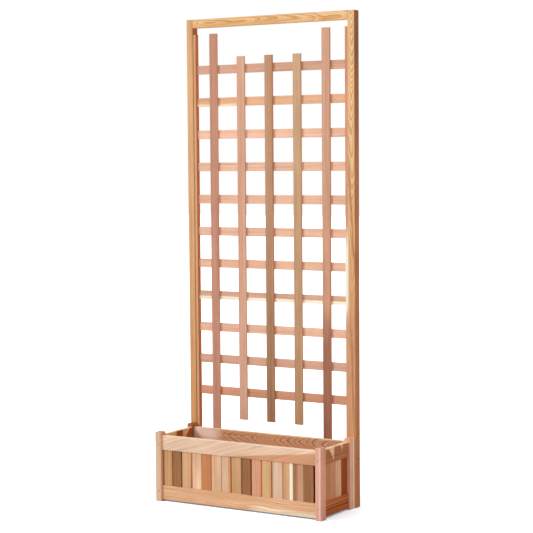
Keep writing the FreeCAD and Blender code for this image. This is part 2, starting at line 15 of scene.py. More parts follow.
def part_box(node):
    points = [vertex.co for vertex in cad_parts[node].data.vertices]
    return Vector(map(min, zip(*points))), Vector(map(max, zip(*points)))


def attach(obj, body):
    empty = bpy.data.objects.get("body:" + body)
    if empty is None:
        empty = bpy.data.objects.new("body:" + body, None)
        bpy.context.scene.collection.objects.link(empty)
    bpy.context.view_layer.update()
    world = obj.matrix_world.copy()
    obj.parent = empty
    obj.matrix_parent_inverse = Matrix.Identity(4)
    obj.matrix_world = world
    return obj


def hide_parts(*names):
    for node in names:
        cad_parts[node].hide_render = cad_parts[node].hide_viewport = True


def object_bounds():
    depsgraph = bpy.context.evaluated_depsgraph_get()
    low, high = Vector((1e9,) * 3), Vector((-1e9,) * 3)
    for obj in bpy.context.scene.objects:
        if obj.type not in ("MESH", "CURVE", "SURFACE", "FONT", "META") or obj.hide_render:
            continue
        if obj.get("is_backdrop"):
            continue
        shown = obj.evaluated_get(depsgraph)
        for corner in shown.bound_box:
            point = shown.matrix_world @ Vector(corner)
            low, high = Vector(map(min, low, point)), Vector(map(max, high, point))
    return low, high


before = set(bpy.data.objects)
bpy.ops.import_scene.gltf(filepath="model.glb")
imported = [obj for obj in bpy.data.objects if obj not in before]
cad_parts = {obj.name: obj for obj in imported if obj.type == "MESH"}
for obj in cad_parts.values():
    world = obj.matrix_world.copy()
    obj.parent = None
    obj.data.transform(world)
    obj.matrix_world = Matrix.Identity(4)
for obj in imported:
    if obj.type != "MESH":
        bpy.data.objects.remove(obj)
CAD_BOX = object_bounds()

LOG = logging.getLogger("planter")
BODY = "root"

# The display's curve: straight up to its knee, and a power above it.
CURVE_KNEE = 0.04045
CURVE_SLOPE = 12.92
CURVE_OFFSET = 0.055
CURVE_POWER = 2.4

# What an input socket takes: a wire, a number or a colour.
Value = Union["Wire", float, tuple[float, ...]]


# ---- shader maths
def linear(code: str) -> tuple[float, ...]:
    """Linear colour of a six-digit display colour.

    Args:
        code: Red, green and blue as two hexadecimal digits each.

    Returns:
        The colour with an alpha of 1.
    """
    shares = [int(code[place:place + 2], 16) / 255 for place in (0, 2, 4)]
    low = [
        share / CURVE_SLOPE
        if share <= CURVE_KNEE
        else ((share + CURVE_OFFSET) / (1 + CURVE_OFFSET)) ** CURVE_POWER
        for share in shares
    ]
    return (*low, 1.0)


class Wire:
    """Output socket of a node, on which arithmetic adds Math nodes."""

    def __init__(self, graph: "Graph", socket: bpy.types.NodeSocket) -> None:
        """Keep the socket with the graph that it belongs to."""
        self.graph = graph
        self.socket = socket

    def join(self, operation: str, first: Value, *others: Value) -> "Wire":
        """Add a Math node.

        Args:
            operation: What the node does.
            first: Its first value or wire.
            others: Its further values or wires.

        Returns:
            The node's result.
        """
        values = dict(enumerate((first, *others)))
        return self.graph.node("ShaderNodeMath", {"operation": operation}, values)

    def __add__(self, other: Value) -> "Wire":
        """Sum."""
        return self.join("ADD", self, other)

    def __radd__(self, other: Value) -> "Wire":
        """Sum with the wire on the right."""
        return self.join("ADD", other, self)

    def __sub__(self, other: Value) -> "Wire":
        """Difference."""
        return self.join("SUBTRACT", self, other)

    def __rsub__(self, other: Value) -> "Wire":
        """Difference with the wire on the right."""
        return self.join("SUBTRACT", other, self)

    def __mul__(self, other: Value) -> "Wire":
        """Product."""
        return self.join("MULTIPLY", self, other)

    def __rmul__(self, other: Value) -> "Wire":
        """Product with the wire on the right."""
        return self.join("MULTIPLY", other, self)

    def __truediv__(self, other: Value) -> "Wire":
        """Quotient."""
        return self.join("DIVIDE", self, other)

    def __rtruediv__(self, other: Value) -> "Wire":
        """Quotient with the wire on the right."""
        return self.join("DIVIDE", other, self)

    def root(self) -> "Wire":
        """Square root."""
        return self.join("SQRT", self)

    def fraction(self) -> "Wire":
        """What is left above the whole number."""
        return self.join("FRACT", self)

    def whole(self) -> "Wire":
        """Whole number below."""
        return self.join("FLOOR", self)

    def size(self) -> "Wire":
        """Value without its sign."""
        return self.join("ABSOLUTE", self)

    def either(self, other: Value) -> "Wire":
        """Larger of two values, which joins two masks."""
        return self.join("MAXIMUM", self, other)

    def rise(self, low: float, high: float) -> "Wire":
        """Smooth step.

        Args:
            low: Value at which the step starts from 0.
            high: Value at which it reaches 1.

        Returns:
            The step's height.
        """
        settings = {"interpolation_type": "SMOOTHSTEP"}
        values = {"Value": self, "From Min": low, "From Max": high}
        return self.graph.node("ShaderNodeMapRange", settings, values)

    def inside(self, low: float, high: float, soft: float) -> "Wire":
        """Mask of a range with soft ends.

        Args:
            low: Lower end of the range.
            high: Upper end of the range.
            soft: Width of the blur at each end.

        Returns:
            1 within the range and 0 beyond it.
        """
        half = soft / 2
        return self.rise(low - half, low + half) * (1 - self.rise(high - half, high + half))

    def band(self, start: float, full: float, fade: float) -> "Wire":
        """Mask of the last part of a turn.

        Args:
            start: Value at which it starts from 0.
            full: Value at which it reaches 1.
            fade: Value from which it falls, to 0 at the end of the turn.

        Returns:
            The mask.
        """
        return self.rise(start, full) * (1 - self.rise(fade, 1.0))


@dataclass(frozen=True)
class Layer:
    """Noise that may be drawn out in one direction.

    Attributes:
        along: Scale in that direction, per metre.
        across: Scale in the other two, per metre.
        detail: Number of finer layers.
        roughness: Weight of the finer layers.
    """

    along: float
    across: float
    detail: float = 2.0
    roughness: float = 0.5


class Blend(Enum):
    """How two colours mix."""

    MIX = "MIX"
    MULTIPLY = "MULTIPLY"


class Graph:
    """Nodes of one material, or of the world."""

    def __init__(self, tree: bpy.types.NodeTree) -> None:
        """Start from an empty tree."""
        self.tree = tree
        self.tree.nodes.clear()

    def feed(self, socket: bpy.types.NodeSocket, value: Value) -> None:
        """Link a wire to a socket, or set its value.

        Args:
            socket: The input socket.
            value: What it takes.
        """
        if isinstance(value, Wire):
            self.tree.links.new(value.socket, socket)
        else:
            socket.default_value = value

    def node(
        self,
        kind: str,
        settings: dict[str, Any] | None = None,
        values: dict[int | str, Value] | None = None,
        output: int | str = 0,
    ) -> Wire:
        """Add a node.

        Args:
            kind: The node's type.
            settings: Its properties, set before its sockets.
            values: Values or wires for its input sockets, by name or number.
            output: The output to read.

        Returns:
            The wire of that output.
        """
        made = self.tree.nodes.new(kind)
        for name, setting in (settings or {}).items():
            setattr(made, name, setting)
        for name, value in (values or {}).items():
            self.feed(made.inputs[name], value)
        return Wire(self, made.outputs[output])

    def point(self, x: Value, y: Value, z: Value) -> Wire:
        """Vector of three values or wires."""
        return self.node("ShaderNodeCombineXYZ", None, {"X": x, "Y": y, "Z": z})

    def parts(self, vector: Wire) -> list[Wire]:
        """Take a vector apart.

        Args:
            vector: The vector.

        Returns:
            Its X, Y and Z.
        """
        made = self.tree.nodes.new("ShaderNodeSeparateXYZ")
        self.feed(made.inputs[0], vector)
        return [Wire(self, socket) for socket in made.outputs]

    def noise(self, at: Wire, detail: float = 2.0, roughness: float = 0.5) -> Wire:
        """Noise about 0.5.

        Args:
            at: Place at which it is read, already at its scale.
            detail: Number of finer layers.
            roughness: Weight of the finer layers.

        Returns:
            The noise's height.
        """
        values = {"Vector": at, "Scale": 1.0, "Detail": detail, "Roughness": roughness}
        return self.node("ShaderNodeTexNoise", None, values)

    def layer(self, layer: Layer, place: Sequence[Wire], shift: Value = 0.0) -> Wire:
        """Noise of a layer.

        Args:
            layer: Its scales and its detail.
            place: Distance in the direction in which it is drawn out, and in the other two.
            shift: What sets it apart from the same noise elsewhere.

        Returns:
            The noise's height, about 0.5.
        """
        along, *others = place
        scaled = (other * layer.across for other in others)
        at = self.point(along * layer.along + shift, *scaled)
        return self.noise(at, layer.detail, layer.roughness)

    def swing(self, layer: Layer, place: Sequence[Wire], shift: Value) -> Wire:
        """Noise of a layer, about 0 and up to 0.5 each way."""
        return self.layer(layer, place, shift) - 0.5

    def relief(self, height: Wire, strength: float, distance: float) -> Wire:
        """Normal of a surface with a fine relief.

        Args:
            height: Height of the relief, from 0 to 1.
            strength: How strongly it shows.
            distance: Height in metres that 1 stands for.

        Returns:
            The normal.
        """
        values = {"Strength": strength, "Distance": distance, "Height": height}
        return self.node("ShaderNodeBump", None, values)

    def mix(self, share: Value, first: Value, second: Value, blend: Blend = Blend.MIX) -> Wire:
        """Mix two colours.

        Args:
            share: Share of the second colour.
            first: First colour.
            second: Second colour.
            blend: How they blend.

        Returns:
            The mixed colour.
        """
        factor, colour_a, colour_b, result = 0, 6, 7, 2
        settings = {"data_type": "RGBA", "blend_type": blend.value, "clamp_factor": True}
        values = {factor: share, colour_a: first, colour_b: second}
        return self.node("ShaderNodeMix", settings, values, result)

    def finish(self, kind: str, surface: Wire) -> None:
        """Add the output node of this kind, and link the surface to it."""
        sink = self.tree.nodes.new(kind)
        self.feed(sink.inputs["Surface"], surface)


def blank_material(name: str) -> tuple[bpy.types.Material, Graph]:
    """Start a material.

    Args:
        name: Its name.

    Returns:
        The material and its graph, still empty.
    """
    material = bpy.data.materials.new(name)
    material.use_nodes = True
    return material, Graph(material.node_tree)


# ---- finishes
class Axis(Enum):
    """Direction in the frame."""

    X = 0
    Y = 1
    Z = 2


@dataclass(frozen=True)
class Tone:
    """Colours of a kind of cedar.

    Attributes:
        early: Wide pale part of a growth ring.
        late: Narrow dark part of a growth ring.
        streak: Tint that wanders along the grain.
    """

    early: str
    late: str
    streak: str

    def colours(self) -> list[tuple[float, ...]]:
        """Linear colours of its early wood, late wood and streaks."""
        return [linear(code) for code in (self.early, self.late, self.streak)]


@dataclass(frozen=True)
class Cut:
    """How a board lies in its log, in metres.

    Attributes:
        ring: Width of a growth ring.
        across: Heart of the log, off the board's middle across its face.
        behind: Heart of the log behind the board's middle.
        lean: Drift of the heart away from the face per metre of length.
        slope: Drift of the heart across the face per metre of length.
        bend: How the lean grows along the board, per metre.
        sharp: How pointed the arches are, from 0.
        wander: How far the rings stray.
        contrast: How dark the late wood shows.
        onset: Share of a ring at which its late wood starts.
        streaks: How strongly the fine streaks show.
    """

    ring: float
    across: float
    behind: float
    lean: float = 0.0
    slope: float = 0.0
    bend: float = 0.0
    sharp: float = 0.0
    wander: float = 0.008
    contrast: float = 0.5
    onset: float = 0.35
    streaks: float = 0.6


@dataclass(frozen=True)
class Patch:
    """Patch of other colour on a board, its bounds as shares from -0.5 to 0.5: other wood on some boards,
    painted light and shade on others.

    Attributes:
        colour: Its colour.
        low: Lower edge across the face.
        high: Upper edge across the face.
        start: Where it starts along the board.
        stop: Where it stops along the board.
        strength: How much of the board's own colour it covers.
        slant: Rise across the face over the board's length.
        pointed: Whether it narrows to a point at its lower edge.
        tip: Share of its length at which that point lies.
    """

    colour: str
    low: float = -1.0
    high: float = 1.0
    start: float = -1.0
    stop: float = 1.0
    strength: float = 0.9
    slant: float = 0.0
    pointed: bool = False
    tip: float = 0.5

    # Blur of its bounds, and of its edges where it is pointed.
    SOFT = 0.10
    POINT_SHOWS = (-0.01, 0.02)

    def mask(self, along: Wire, share: Wire) -> Wire:
        """Mask of the patch.

        Args:
            along: Place along the board, as a share.
            share: Place across the face, as a share.

        Returns:
            The mask.
        """
        edge = share - self.slant * along if self.slant else share
        if self.pointed:
            half = (self.stop - self.start) / 2
            reach = (edge - self.low) * (half / (self.high - self.low))
            centre = self.start + 2 * half * self.tip + reach * (1 - 2 * self.tip)
            return (reach - (along - centre).size()).rise(*self.POINT_SHOWS)
        mask = edge.inside(self.low, self.high, self.SOFT)
        if self.start > -0.5 or self.stop < 0.5:
            mask = mask * along.inside(self.start, self.stop, self.SOFT)
        return mask


# Palette of the cedar.
CREAM = Tone("e5c6ac", "d8ae8e", "dfbd9f")
LINEN = Tone("d8b89b", "c29174", "d2a886")
BISQUE = Tone("dcb594", "c48f69", "d2a27c")
WHEAT = Tone("d7ac85", "b98558", "cd9a6c")
BUFF = Tone("e3bd97", "c97f54", "d9a073")
HONEY = Tone("d6b083", "bf8c54", "cc9d66")
GOLD = Tone("e0b489", "c48850", "d59f6e")
AMBER = Tone("f0cc9e", "c4823f", "dfa96b")
TAN = Tone("cca077", "ab7547", "c08d60")
OLIVE = Tone("cfa988", "b0865f", "bb9468")
HAZEL = Tone("ca9e81", "a57450", "ba8760")
UMBER = Tone("a47551", "7b4c2d", "94623d")
RUSSET = Tone("c98a5c", "a65a2c", "c37840")
CINNAMON = Tone("ba7850", "8c4c28", "a86338")
BRICK = Tone("c86e3a", "7a3210", "a65626")
OXBLOOD = Tone("a85028", "742c0c", "944018")
BLUSH = Tone("f4c9b0", "dfa081", "ecb497")
PEACH = Tone("edc1a6", "d2967a", "e2ab8b")
APRICOT = Tone("e9b994", "cf8f66", "dca27a")
CLAY = Tone("daae95", "bd8268", "cc967b")
CORAL = Tone("d9a284", "bc7757", "cd8e6c")
SALMON = Tone("d1906b", "b0643e", "c37b52")
MAUVE = Tone("c8947e", "a66c56", "b67c66")
SHELL = Tone("ebb89b", "cf8e70", "dfa485")
ROSE = Tone("e2aa97", "c67e6c", "d39384")
CHEVRON = Tone("ecb690", "5c240c", "d8966a")

PLAIN = Cut(ring=0.0075, across=0.17, behind=0.10, wander=0.007, contrast=0.45)
FINE = Cut(ring=0.0050, across=0.25, behind=0.02, wander=0.005, contrast=0.40)
ARCHED = Cut(ring=0.0050, across=0.0, behind=0.060, lean=0.045, wander=0.012, contrast=0.60)
FLAMED = Cut(ring=0.0050, across=0.0, behind=0.045, lean=0.055, wander=0.014, contrast=1.0)
WAVY = Cut(ring=0.0085, across=-0.02, behind=0.020, lean=0.030, wander=0.020, contrast=0.85)
SWEPT = Cut(ring=0.0080, across=-0.25, behind=0.020, slope=0.32, wander=0.014, contrast=0.60, streaks=0.3)
POINTED = Cut(
    ring=0.0025, across=0.002, behind=0.12, lean=-0.024, bend=-0.026, sharp=0.11, contrast=1.0
)
CHEVRONS = Cut(
    ring=0.0036, across=0.008, behind=0.14, lean=-0.13, sharp=0.12, wander=0.013, contrast=1.0, onset=0.6
)

# Pale tongue that hangs from the upper edge of an end rail.
TONGUE = Patch("f2c198", high=0.6, strength=0.95, pointed=True, tip=0.8)


@dataclass(frozen=True)
class Timber:
    """Finish of one board.

    Attributes:
        tone: Its colours.
        cut: Its figure.
        patches: Patches of other wood, and of painted light and shade, on it.
        face: Direction that its best face looks in.
        foot: Colour towards which it drifts at its lower or left end.
        side_shading: Colour of the painted light and shade on its side that looks to the right.
        side_shading_top: Colour of that painted light and shade near its upper end.
        second: Tone towards which the boards of a row differ.
    """

    tone: Tone
    cut: Cut = PLAIN
    patches: tuple[Patch, ...] = ()
    face: Axis = Axis.Y
    foot: str = ""
    side_shading: str = ""
    side_shading_top: str = ""
    second: Tone | None = None


@dataclass(frozen=True)
class Row:
    """Row of like boards in one piece: its direction, its start and its spacing."""

    axis: Axis
    start: float
    pitch: float


@dataclass(frozen=True)
class WoodFinish:
    """Planed cedar, with growth rings, fibres and end grain.

    Attributes:
        name: Name of the material.
        timber: Finish of the board.
        low: Lowest corner of the board.
        high: Highest corner of the board.
        grain: Direction of its length.
        seed: Number that sets this board apart.
        row: Row of boards that the piece holds.
    """

    name: str
    timber: Timber
    low: Vector
    high: Vector
    grain: Axis
    seed: float
    row: Row | None = None

    # Noises of the wood: its bent fibres, broad tints, fine streaks and single fibres.
    BOW = Layer(4.5, 9.0)
    DRIFT = Layer(1.4, 38.0)
    LINES = Layer(2.2, 150.0, detail=3.0, roughness=0.62)
    FIBRE = Layer(34.0, 950.0, detail=3.0, roughness=0.6)
    # Noises that move the rings across the face, and in from it.
    SWAY = Layer(3.2, 6.0, roughness=0.45)
    SWELL = Layer(4.1, 7.0, roughness=0.45)
    # Noise that moves the edges of the patches, read in one plane, with its reach as shares.
    EDGE = Layer(7.0, 22.0)
    EDGE_PLANE = 3.7
    EDGE_ALONG = 0.10
    EDGE_ACROSS = 0.16
    FOOT_FADES = (-0.45, 0.45)

    # Uneven widths of the rings: their noise's scale per metre, and its reach in rings.
    SPACING_SCALE = 60.0
    SPACING_REACH = 3.0
    # Shares of a ring at which late wood is full and starts to fade.
    LATE_FULL = 0.88
    LATE_FADE = 0.92
    # Fainter lines: how many to a ring, where each one shows, and their part in the mask.
    FAINT_RATE = 2.7
    FAINT_BAND = (0.40, 0.85, 0.90)
    FAINT_SHARE = 0.28

    # Ranges of a noise, of the length or of the surface's turn over which a layer comes in,
    # and how much of what lies below it then covers.
    DRIFT_SHOWS = (0.44, 0.70)
    LINES_SHOW = (0.50, 0.72)
    # Painted light and shade of the side that looks to the right: the length over which it changes to its
    # top colour, the turn at which it shows, and its share.
    SIDE_SHADING_CHANGES = (0.15, 0.42)
    SIDE_SHADING_SHOWS = (0.5, 0.8)
    END_SHOWS = (0.75, 0.95)
    DRIFT_SHARE = 0.65
    SIDE_SHADING_SHARE = 0.85
    END_SHARE = 0.5

    # Weights of the noises in the shade, the roughness and the relief.
    SHADE_LEAST, SHADE_LINES, SHADE_FIBRE, SHADE_BOW = 0.26, 0.98, 0.50, 0.35
    ROUGH_LEAST, ROUGH_FIBRE, ROUGH_LATE = 0.60, 0.18, 0.06
    RELIEF_FIBRE, RELIEF_LATE = 0.6, 0.25
    RELIEF_STRENGTH, RELIEF_DISTANCE = 0.35, 0.0004
    SPECULAR = 0.05
    # Reach of the chance that sets the boards of a row apart.
    ROW_SPREAD = 40.0

    def make(self) -> bpy.types.Material:
        """Build the material.

        Returns:
            The material.
        """
        material, graph = blank_material(self.name)
        places = graph.parts(graph.node("ShaderNodeTexCoord", output="Object"))
        facing = graph.parts(graph.node("ShaderNodeNewGeometry", output="Normal"))
        seed, early, late, streak = self.board_colours(graph, places)
        place = self.board_places(places)
        length, width, depth = place
        late_wood = self.rings(graph, place, seed)
        bow = graph.swing(self.BOW, place, seed)
        cut = self.timber.cut
        strand = (length, width - cut.slope * length + 2 * cut.wander * bow, depth)
        drift = graph.layer(self.DRIFT, strand, 0 - seed)
        lines = graph.layer(self.LINES, strand, seed)
        fibre = graph.layer(self.FIBRE, strand, seed)
        colour = graph.mix(late_wood * cut.contrast, early, late)
        colour = graph.mix(drift.rise(*self.DRIFT_SHOWS) * self.DRIFT_SHARE, colour, streak)
        colour = graph.mix(lines.rise(*self.LINES_SHOW) * cut.streaks, colour, late)
        colour = self.variations(graph, colour, place, seed)
        # Painted light and shade on the side that looks to the right.
        colour = self.side_shading(graph, colour, length, facing[Axis.X.value])
        shade = self.SHADE_LEAST + self.SHADE_LINES * lines + self.SHADE_FIBRE * fibre
        shade = shade + self.SHADE_BOW * bow
        colour = graph.mix(1.0, colour, graph.point(shade, shade, shade), Blend.MULTIPLY)
        end = facing[self.grain.value].size().rise(*self.END_SHOWS) * self.END_SHARE
        colour = graph.mix(end, colour, graph.mix(0.5, late, early), Blend.MULTIPLY)
        relief = self.RELIEF_FIBRE * fibre + self.RELIEF_LATE * late_wood
        values = {
            "Base Color": colour,
            "Roughness": self.ROUGH_LEAST + self.ROUGH_FIBRE * fibre - self.ROUGH_LATE * late_wood,
            "Specular IOR Level": self.SPECULAR,
            "Normal": graph.relief(relief, self.RELIEF_STRENGTH, self.RELIEF_DISTANCE),
        }
        graph.finish("ShaderNodeOutputMaterial", graph.node("ShaderNodeBsdfPrincipled", None, values))
        return material

    def board_colours(self, graph: Graph, places: list[Wire]) -> tuple[Value, ...]:
        """Seed and colours, which change from board to board of a row.

        Args:
            graph: Nodes of the material.
            places: X, Y and Z in the frame.

        Returns:
            The seed, and the colours of early wood, late wood and streaks.
        """
        colours = self.timber.tone.colours()
        if self.row is None:
            return (self.seed, *colours)
        number = ((places[self.row.axis.value] - self.row.start) / self.row.pitch).whole()
        settings = {"noise_dimensions": "1D"}
        chance = graph.node("ShaderNodeTexWhiteNoise", settings, {"W": number + self.seed})
        if self.timber.second is not None:
            pairs = zip(colours, self.timber.second.colours())
            colours = [graph.mix(chance, *pair) for pair in pairs]
        return (chance * self.ROW_SPREAD + self.seed, *colours)

    def board_places(self, places: list[Wire]) -> list[Wire]:
        """Coordinates from the board's middle.

        Args:
            places: X, Y and Z in the frame.

        Returns:
            Distance along the grain, across the best face and in from it.
        """
        middle = (self.low + self.high) / 2
        return [places[axis] - middle[axis] for axis in self.axes()]

    def axes(self) -> tuple[int, int, int]:
        """Axes along the grain, across the best face and in from it, which add up to 3."""
        along, inward = self.grain.value, self.timber.face.value
        return along, 3 - along - inward, inward

    def rings(self, graph: Graph, place: list[Wire], seed: Value) -> Wire:
        """Growth rings.

        Args:
            graph: Nodes of the material.
            place: Distances along the grain, across the best face and in from it.
            seed: Number that sets this board apart.

        Returns:
            Mask of the late wood.
        """
        cut = self.timber.cut
        length, width, depth = place
        sway = graph.swing(self.SWAY, place, seed)
        swell = graph.swing(self.SWELL, place, 0 - seed)
        aside = width - cut.across - cut.slope * length + 2 * cut.wander * sway
        inward = depth + cut.behind + cut.lean * length + 2 * cut.wander * swell
        if cut.bend:
            inward = inward + cut.bend * length * length
        radius = (aside * aside + inward * inward).root()
        if cut.sharp:
            radius = radius + cut.sharp * aside.size()
        spacing = graph.noise(graph.point(radius * self.SPACING_SCALE, seed, 0.0), 1.0)
        turn = radius / cut.ring + self.SPACING_REACH * spacing
        bold = turn.fraction().band(cut.onset, self.LATE_FULL, self.LATE_FADE)
        faint = (turn * self.FAINT_RATE).fraction().band(*self.FAINT_BAND)
        return (1 - self.FAINT_SHARE) * bold + self.FAINT_SHARE * faint

    def variations(self, graph: Graph, colour: Wire, place: list[Wire], seed: Value) -> Wire:
        """Lay the drift along the board and the patches over the colour.

        Args:
            graph: Nodes of the material.
            colour: Colour of the plain board.
            place: Distances along the grain, across the best face and in from it.
            seed: Number that sets this board apart.

        Returns:
            Colour with its variations.
        """
        timber = self.timber
        if not (timber.foot or timber.patches):
            return colour
        length, width, _ = place
        long, wide, _ = (self.high[axis] - self.low[axis] for axis in self.axes())
        at = graph.point(length * self.EDGE.along + seed, width * self.EDGE.across, self.EDGE_PLANE)
        sway = graph.noise(at) - 0.5
        along = length / long + self.EDGE_ALONG * sway
        share = width / wide + self.EDGE_ACROSS * sway
        if timber.foot:
            colour = graph.mix(1 - along.rise(*self.FOOT_FADES), colour, linear(timber.foot))
        for patch in timber.patches:
            mask = patch.mask(along, share) * patch.strength
            colour = graph.mix(mask, colour, linear(patch.colour))
        return colour

    def side_shading(self, graph: Graph, colour: Wire, length: Wire, facing_right: Wire) -> Wire:
        """Lay painted light and shade over the side that looks to the right.

        Args:
            graph: Nodes of the material.
            colour: Colour of the board.
            length: Distance along the grain.
            facing_right: How far the surface turns to the right, from -1 to 1.

        Returns:
            Colour with the painted light and shade of that side.
        """
        if not self.timber.side_shading:
            return colour
        side_shading: Value = linear(self.timber.side_shading)
        if self.timber.side_shading_top:
            grain = self.grain.value
            upper = (length / (self.high[grain] - self.low[grain])).rise(*self.SIDE_SHADING_CHANGES)
            side_shading = graph.mix(upper, side_shading, linear(self.timber.side_shading_top))
        return graph.mix(facing_right.rise(*self.SIDE_SHADING_SHOWS) * self.SIDE_SHADING_SHARE, colour, side_shading)


@dataclass(frozen=True)
class SteelFinish:
    """Zinc-plated steel of the screws, bright with dull clouds."""

    name: str = "zinc_plate"
    bright: str = "a8adaf"
    dull: str = "757a7c"
    metallic: float = 0.85

    # Noises of the clouds and of the fine scratches.
    CLOUD = Layer(700.0, 700.0, detail=3.0, roughness=0.6)
    SCRATCH = Layer(4000.0, 400.0)
    BRIGHT_SHOWS = (0.35, 0.65)
    ROUGH_LEAST, ROUGH_CLOUD, ROUGH_SCRATCH = 0.34, 0.22, 0.08
    RELIEF_STRENGTH, RELIEF_DISTANCE = 0.2, 0.0001

    def make(self) -> bpy.types.Material:
        """Build the material.

        Returns:
            The material.
        """
        material, graph = blank_material(self.name)
        place = graph.parts(graph.node("ShaderNodeTexCoord", output="Object"))
        cloud = graph.layer(self.CLOUD, place)
        scratch = graph.layer(self.SCRATCH, place)
        values = {
            "Base Color": graph.mix(cloud.rise(*self.BRIGHT_SHOWS), linear(self.dull), linear(self.bright)),
            "Metallic": self.metallic,
            "Roughness": self.ROUGH_LEAST + self.ROUGH_CLOUD * cloud + self.ROUGH_SCRATCH * scratch,
            "Normal": graph.relief(scratch, self.RELIEF_STRENGTH, self.RELIEF_DISTANCE),
        }
        graph.finish("ShaderNodeOutputMaterial", graph.node("ShaderNodeBsdfPrincipled", None, values))
        return material


# ---- timber pieces
def dress(node: str, timber: Timber, grain: Axis, seed: float, row: Row | None = None) -> str:
    """Give a board of the frame its own wood.

    Args:
        node: Name of the board.
        timber: Its finish.
        grain: Direction of its length.
        seed: Number that sets it apart.
        row: Row of boards that the piece holds.

    Returns:
        The name of the board.
    """
    low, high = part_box(node)
    finish = WoodFinish(f"cedar_{node}", timber, low, high, grain, seed, row)
    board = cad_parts[node]
    board.data.materials.clear()
    board.data.materials.append(finish.make())
    return node


def add_piece(name: str, mesh: bmesh.types.BMesh, material: bpy.types.Material) -> bpy.types.Object:
    """Put a finished mesh into the scene.

    Args:
        name: Name of the piece.
        mesh: Its mesh, which is freed.
        material: Its material.

    Returns:
        The piece.
    """
    data = bpy.data.meshes.new(name)
    mesh.to_mesh(data)
    mesh.free()
    data.materials.append(material)
    piece = bpy.data.objects.new(name, data)
    bpy.context.scene.collection.objects.link(piece)
    return piece


